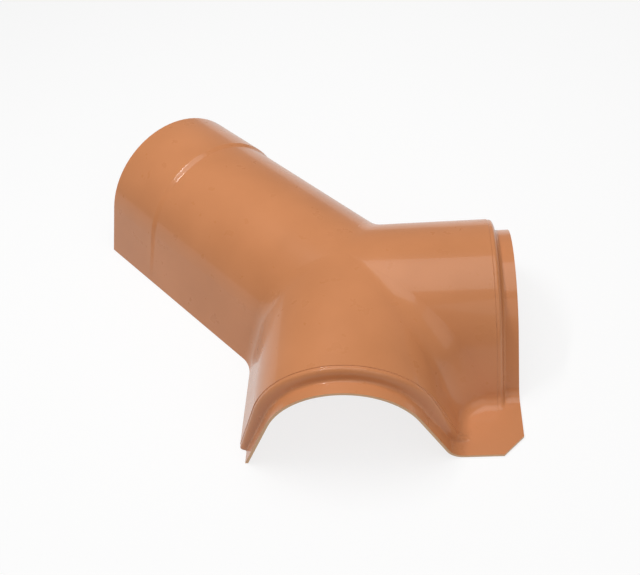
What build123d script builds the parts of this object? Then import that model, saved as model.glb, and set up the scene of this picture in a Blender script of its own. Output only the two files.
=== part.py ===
"""Three-way ridge cap: the moulded roof fitting that covers the point where a ridge meets two hips.

One sheet of glossy plastic, formed over a mould and trimmed. Three half-round arms run out of one hub:
the ridge arm along -X and two hip arms towards +X, one to each side. The ridge arm ends in a slightly
raised bell. Each hip arm steps down to a narrower collar, and a flat lip fills the corner between them.
All three arms stand with their feet on Z = 0, and their crowns meet above the origin.
"""

import os
from math import acos, atan2, cos, hypot, pi, radians, sin, tan

from build123d import *

# Sheet
wall = 3.0

# Arms: a half-round crown on two straight skirts that spread towards the feet
arm_radius = 100.0
crown_height = 128.0
foot_width = 236.0
ridge_reach = 340.0
hip_reach = 182.0
hip_angle = 45.0

# Upright corners where two arms meet
corner_round = 36.0

# Bell at the ridge arm's end
bell_length = 90.0
bell_rise = 2.5
bell_run = 6.0

# Collar at each hip arm's end
collar_length = 24.0
collar_drop = 13.0
collar_taper = 8.0
step_round = 7.0
step_cove = 3.0

# Lip in the corner between the hip arms
lip_cove = 16.0
lip_chamfer = 22.0

# How far a cutting shape runs past the sheet
clear = 30.0


def lean_of(radius, crown, foot):
    """Lean of the skirt that leaves the crown's round smoothly and ends at the foot."""
    centre = crown - radius
    return acos(radius / hypot(foot, centre)) - atan2(centre, foot)


def arch(inset, step=0.0, rise=0.0, base=0.0, cove=False):
    """Section across an arm, taken in by inset all round.

    step goes from 0 for the arm to 1 for its collar, and rise from 0 for the arm to 1 for its bell.
    base is the height the skirts run down to. With cove, the right skirt ends in the hollow round
    that leads on to the lip.
    """
    radius = arm_radius - step * collar_drop + rise * bell_rise
    crown = crown_height - step * collar_drop + rise * bell_rise
    foot = foot_width / 2 - step * collar_taper
    lean = lean_of(radius, crown, foot)
    centre = crown - radius
    radius -= inset
    foot -= inset / cos(lean)
    shoulder = (radius * cos(lean), centre + radius * sin(lean))
    toe = foot - base * tan(lean)
    with BuildSketch() as face:
        with BuildLine():
            ThreePointArc(shoulder, (0, centre + radius), (-shoulder[0], shoulder[1]))
            if cove:
                # the round touches the skirt at its top and the lip's face at its low end
                level = wall - inset
                turn = lip_cove + inset
                middle = foot - level * tan(lean) + turn * (1 - sin(lean)) / cos(lean)
                top = (middle - turn * cos(lean), level + turn * (1 - sin(lean)))
                way = (lean + pi / 2) / 2
                bend = (middle - turn * cos(way), level + turn * (1 - sin(way)))
                Polyline((-shoulder[0], shoulder[1]), (-toe, base), (middle, base), (middle, level))
                ThreePointArc((middle, level), bend, top)
                Line(top, shoulder)
            else:
                Polyline((-shoulder[0], shoulder[1]), (-toe, base), (toe, base), shoulder)
        make_face()
    return face.sketch


def across(angle, distance):
    """Upright plane across an arm at a distance from the hub, facing outwards, local Y upwards."""
    heading = Vector(cos(radians(angle)), sin(radians(angle)), 0)
    return Plane(origin=heading * distance, x_dir=Vector(0, 0, 1).cross(heading), z_dir=heading)


def step_sections(inset):
    """Places along a hip arm and shares of the drop that make the rounded step down to the collar."""
    rounds = step_round + step_cove
    steepest = min(radians(80), acos(max(-1.0, 1 - collar_drop / rounds)))
    straight = (collar_drop - rounds * (1 - cos(steepest))) / sin(steepest)
    run = rounds * sin(steepest) + straight * cos(steepest)
    sections = []
    for turn in (0, steepest / 3, steepest * 2 / 3, steepest):
        sections.append((step_round * sin(turn), step_round * (1 - cos(turn)), turn))
    for turn in (steepest, steepest * 2 / 3, steepest / 3, 0):
        sections.append((run - step_cove * sin(turn), collar_drop - step_cove * (1 - cos(turn)), turn))
    start = hip_reach - collar_length
    return [
        (start + along - inset * sin(turn), (drop - inset * (1 - cos(turn))) / collar_drop)
        for along, drop, turn in sections
    ]


def formed(inset):
    """The closed body whose outside is the sheet's outside, taken in by inset; the hollow has inset = wall."""
    base = -clear if inset else 0.0
    extra = clear if inset else 0.0
    level = wall - inset
    long = hip_reach + clear
    bell_start = ridge_reach - bell_length
    sections = step_sections(inset)

    # hub with the corners between the arms rolled round
    with BuildPart() as hub:
        for angle, reach in ((180, bell_start), (hip_angle, long), (-hip_angle, long)):
            with BuildSketch(across(angle, 0)):
                add(arch(inset, base=base))
            extrude(amount=reach)
        valleys = [edge for edge in hub.edges() if between_arms(edge)]
        fillet(valleys, corner_round + inset)

        # the lip's level between the hips, with a hollow round up to both skirts
        with BuildSketch(Plane.XY.offset(base)):
            add(corner_field(long, 0))
        extrude(amount=level - base)
        seam = [
            edge for edge in hub.edges()
            if abs(edge.bounding_box().min.Z - level) < 1e-4 and abs(edge.bounding_box().max.Z - level) < 1e-4
            and inside_corner(edge.center(), long)
        ]
        fillet(seam, lip_cove + inset)
        for angle in (hip_angle, -hip_angle):
            with BuildSketch(across(angle, sections[0][0])):
                Rectangle(8 * foot_width, 8 * foot_width)
            extrude(amount=4 * clear + long, mode=Mode.SUBTRACT)

    # one hip arm's step and collar, and the same on the other arm
    with BuildPart() as step:
        for place, share in sections:
            with BuildSketch(across(-hip_angle, place)):
                add(arch(inset, step=share, base=base, cove=True))
        loft()
    with BuildPart() as collar:
        with BuildSketch(across(-hip_angle, sections[-1][0])):
            add(arch(inset, step=1, base=base, cove=True))
        extrude(amount=hip_reach + extra - sections[-1][0])

    # the ridge arm's bell
    with BuildPart() as swell:
        for place, share in ((0, 0), (1 / 3, 7 / 27), (2 / 3, 20 / 27), (1, 1)):
            with BuildSketch(across(180, bell_start + place * bell_run)):
                add(arch(inset, rise=share, base=base))
        loft()
    with BuildPart() as bell:
        with BuildSketch(across(180, bell_start + bell_run)):
            add(arch(inset, rise=1, base=base))
        extrude(amount=bell_length - bell_run + extra)

    with BuildPart() as body:
        add(hub.part)
        for piece in (step.part, collar.part):
            add(piece)
            add(mirror(piece, about=Plane.XZ, mode=Mode.PRIVATE))
        add(swell.part)
        add(bell.part)
        with BuildSketch(Plane.XY.offset(base)):
            add(corner_field(hip_reach + extra, 0 if inset else lip_chamfer))
        extrude(amount=level - base)
    return body.part


def between_arms(edge):
    """True for an edge that lies in one of the upright planes halfway between two arms."""
    points = [edge @ share for share in (0, 0.35, 0.7, 1)]
    middles = (0, 90 + hip_angle / 2, -90 - hip_angle / 2)
    return any(
        all(abs(point.X * sin(radians(turn)) - point.Y * cos(radians(turn))) < 0.01 for point in points)
        for turn in middles
    )


def corner_field(reach, chamfer):
    """The ground between the hip arms' axes out to both rim planes, with its far corner cut off."""
    half = radians(hip_angle)
    tip = reach / cos(half)
    cut = chamfer / sin(2 * half)
    back = (tip - cut * sin(half), cut * cos(half))
    side = (reach * cos(half), reach * sin(half))
    points = [(0, 0), side, back, (back[0], -back[1]), (side[0], -side[1])]
    if not chamfer:
        points = [(0, 0), side, (tip, 0), (side[0], -side[1])]
    with BuildSketch() as field:
        with BuildLine():
            Polyline(*points, close=True)
        make_face()
    return field.sketch


def inside_corner(point, reach):
    """True for a point between the hip arms that is not on the field's far edges."""
    half = radians(hip_angle)
    return all(0.1 < point.X * cos(half) + side * point.Y * sin(half) < reach - 0.1 for side in (1, -1))


with BuildPart() as ridge_cap:
    add(formed(0))
    add(formed(wall), mode=Mode.SUBTRACT)
ridge_cap.part.label = "ridge_cap"

os.makedirs("parts", exist_ok=True)
export_step(ridge_cap.part, "parts/ridge_cap.step")
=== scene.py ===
"""Looks of the three-way ridge cap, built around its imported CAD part."""

import math

import bpy
from mathutils import Matrix, Vector

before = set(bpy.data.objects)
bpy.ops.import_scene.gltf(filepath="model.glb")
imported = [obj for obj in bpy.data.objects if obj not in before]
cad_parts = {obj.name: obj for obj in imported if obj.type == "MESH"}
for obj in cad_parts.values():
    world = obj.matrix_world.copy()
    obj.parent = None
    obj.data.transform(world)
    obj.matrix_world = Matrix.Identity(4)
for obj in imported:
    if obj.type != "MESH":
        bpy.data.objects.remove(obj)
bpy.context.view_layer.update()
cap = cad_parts["ridge_cap"]
scene = bpy.context.scene

# The cap itself: one sheet of brown-orange plastic, coloured through, formed over a mould
# and trimmed with a saw. The moulded face came out glossy, with slow cloudy changes of
# tone and a faint ripple, and the sawn edges are duller and paler than the face.
darker_tone = (0.560, 0.220, 0.088, 1)
lighter_tone = (0.625, 0.250, 0.104, 1)
sawn_tone = (0.66, 0.40, 0.22, 1)
plastic = bpy.data.materials.new("terracotta_plastic")
plastic.use_nodes = True
tree = plastic.node_tree
shader = tree.nodes["Principled BSDF"]
place = tree.nodes.new("ShaderNodeTexCoord")


def cap_noise(waves_per_metre, detail):
    """Solid noise from 0 to 1 that stays fixed to the cap, as it reads the cap's own coordinates."""
    noise = tree.nodes.new("ShaderNodeTexNoise")
    noise.inputs["Scale"].default_value = waves_per_metre
    noise.inputs["Detail"].default_value = detail
    tree.links.new(place.outputs["Object"], noise.inputs["Vector"])
    return noise.outputs["Fac"]


def cap_math(operation, first, second=None):
    """One sum of the cap's material: first is an output, and second a number, an output or nothing."""
    step = tree.nodes.new("ShaderNodeMath")
    step.operation = operation
    tree.links.new(first, step.inputs[0])
    if isinstance(second, float):
        step.inputs[1].default_value = second
    elif second is not None:
        tree.links.new(second, step.inputs[1])
    return step.outputs[0]


# Clouds of tone, about a hand's width across
clouds = cap_noise(9.0, 3.0)
tones = tree.nodes.new("ShaderNodeValToRGB")
darker_end, lighter_end = tones.color_ramp.elements
darker_end.position = 0.35
darker_end.color = darker_tone
lighter_end.position = 0.68
lighter_end.color = lighter_tone
tree.links.new(clouds, tones.inputs["Fac"])

# The sawn edges at the arms' ends and round the lip stand upright, and no moulded face
# does: its skirts lean. So the height of a face's normal tells the edges from the face.
upright_limit = 0.015
shape = tree.nodes.new("ShaderNodeNewGeometry")
tilt = tree.nodes.new("ShaderNodeSeparateXYZ")
tree.links.new(shape.outputs["True Normal"], tilt.inputs["Vector"])
sawn = cap_math("LESS_THAN", cap_math("ABSOLUTE", tilt.outputs["Z"]), upright_limit)
edge_tone = tree.nodes.new("ShaderNodeMix")
edge_tone.data_type = "RGBA"
edge_tone.inputs["B"].default_value = sawn_tone
tree.links.new(sawn, edge_tone.inputs["Factor"])
tree.links.new(tones.outputs["Color"], edge_tone.inputs["A"])
tree.links.new(edge_tone.outputs["Result"], shader.inputs["Base Color"])

# Faint ripple from forming
wave = tree.nodes.new("ShaderNodeBump")
wave.inputs["Strength"].default_value = 0.2
wave.inputs["Distance"].default_value = 0.0008
tree.links.new(cap_noise(7.0, 1.0), wave.inputs["Height"])
tree.links.new(wave.outputs["Normal"], shader.inputs["Normal"])

# Gloss, broken by light scuffs; the sawn edges stay dull
sawn_roughness = 0.6
polish = tree.nodes.new("ShaderNodeMapRange")
polish.inputs["To Min"].default_value = 0.24
polish.inputs["To Max"].default_value = 0.34
tree.links.new(cap_noise(60.0, 3.0), polish.inputs["Value"])
dull = cap_math("MAXIMUM", polish.outputs["Result"], cap_math("MULTIPLY", sawn, sawn_roughness))
tree.links.new(dull, shader.inputs["Roughness"])
shader.inputs["IOR"].default_value = 1.5
shader.inputs["Specular IOR Level"].default_value = 0.18
shader.inputs["Coat Weight"].default_value = 0.3
shader.inputs["Coat Roughness"].default_value = 0.06
cap.data.materials.clear()
cap.data.materials.append(plastic)

# The floor: a pale sheet that fades into the photograph's white ground. A share of plain
# white lightens it for the camera and in reflections, and the cap's soft shadow stays.
floor_side = 8.0
floor_gap = 0.0005
white_share = 0.8
bpy.ops.mesh.primitive_plane_add(size=floor_side, location=(0, 0, -floor_gap))
floor = bpy.context.object
floor.name = "floor"
paper = bpy.data.materials.new("pale_floor")
paper.use_nodes = True
sheet = paper.node_tree
matt = sheet.nodes["Principled BSDF"]
matt.inputs["Base Color"].default_value = (0.93, 0.93, 0.93, 1)
matt.inputs["Roughness"].default_value = 0.9
white = sheet.nodes.new("ShaderNodeEmission")
seen = sheet.nodes.new("ShaderNodeLightPath")
either = sheet.nodes.new("ShaderNodeMath")
either.operation = "MAXIMUM"
share = sheet.nodes.new("ShaderNodeMath")
share.operation = "MULTIPLY"
share.inputs[1].default_value = white_share
blend = sheet.nodes.new("ShaderNodeMixShader")
sheet.links.new(seen.outputs["Is Camera Ray"], either.inputs[0])
sheet.links.new(seen.outputs["Is Glossy Ray"], either.inputs[1])
sheet.links.new(either.outputs[0], share.inputs[0])
sheet.links.new(share.outputs[0], blend.inputs["Fac"])
sheet.links.new(matt.outputs[0], blend.inputs[1])
sheet.links.new(white.outputs[0], blend.inputs[2])
sheet.links.new(blend.outputs[0], sheet.nodes["Material Output"].inputs["Surface"])
floor.data.materials.append(paper)

# Studio light: a white room at a low level, a large soft panel over the hub, a narrow one
# that leaves the streaks along the bell and the steps, and a wide weak one on the side of
# the hip arms. The camera sees the room as pale as the far floor, so no horizon shows.
room_level = 0.25
far_floor_tone = (0.84, 0.84, 0.84, 1)
world = bpy.data.worlds.new("white_room")
scene.world = world
world.use_nodes = True
room = world.node_tree
glow = room.nodes["Background"]
glow.inputs["Color"].default_value = (1, 1, 1, 1)
glow.inputs["Strength"].default_value = room_level
backdrop = room.nodes.new("ShaderNodeBackground")
backdrop.inputs["Color"].default_value = far_floor_tone
looked_at = room.nodes.new("ShaderNodeLightPath")
choice = room.nodes.new("ShaderNodeMixShader")
room.links.new(looked_at.outputs["Is Camera Ray"], choice.inputs["Fac"])
room.links.new(glow.outputs[0], choice.inputs[1])
room.links.new(backdrop.outputs[0], choice.inputs[2])
room.links.new(choice.outputs[0], room.nodes["World Output"].inputs["Surface"])

# Each panel: its name, its place, the point it faces, its two sides in metres, its watts
for name, spot, facing, sides, watts in (
    ("top_panel", (-0.05, 0.1, 1.6), (0, 0, 0.1), (1.2, 1.2), 11.0),
    ("streak_panel", (-0.45, -0.25, 1.3), (-0.1, -0.05, 0.1), (0.7, 0.08), 6.0),
    ("side_panel", (1.5, -0.25, 1.2), (0.1, 0, 0.1), (1.4, 1.4), 6.0),
):
    light = bpy.data.lights.new(name, "AREA")
    light.shape = "RECTANGLE"
    light.size, light.size_y = sides
    light.energy = watts
    lamp = bpy.data.objects.new(name, light)
    lamp.location = spot
    lamp.rotation_euler = (Vector(facing) - Vector(spot)).to_track_quat("-Z", "Y").to_euler()
    scene.collection.objects.link(lamp)

# The camera: the photograph's view, from above the lip and the near hip arm. It is placed
# by its direction from a point inside the hub, and middle is that point in the picture.
picture_width = 640
picture_height = 575
sensor_width = 36
around = math.radians(-37.7)
above = math.radians(46.2)
roll = math.radians(-7.8)
distance = 1.023
focal_pixels = 905.0
hub_point = Vector((0, 0, 0.06))
middle = (348.8, 293.7)
back = Vector((math.cos(above) * math.cos(around), math.cos(above) * math.sin(around), math.sin(above)))
level = Vector((-math.sin(around), math.cos(around), 0))
upright = back.cross(level)
right = math.cos(roll) * level + math.sin(roll) * upright
up = math.cos(roll) * upright - math.sin(roll) * level
turned = Matrix((right, up, back)).transposed().to_4x4()
lens = bpy.data.cameras.new("camera")
lens.sensor_width = sensor_width
lens.lens = focal_pixels * sensor_width / picture_width
lens.shift_x = (picture_width / 2 - middle[0]) / picture_width
lens.shift_y = (middle[1] - picture_height / 2) / picture_width
lens.clip_end = 50
camera = bpy.data.objects.new("camera", lens)
camera.matrix_world = Matrix.Translation(hub_point + back * distance) @ turned
scene.collection.objects.link(camera)
scene.camera = camera
scene.view_settings.view_transform = "Standard"
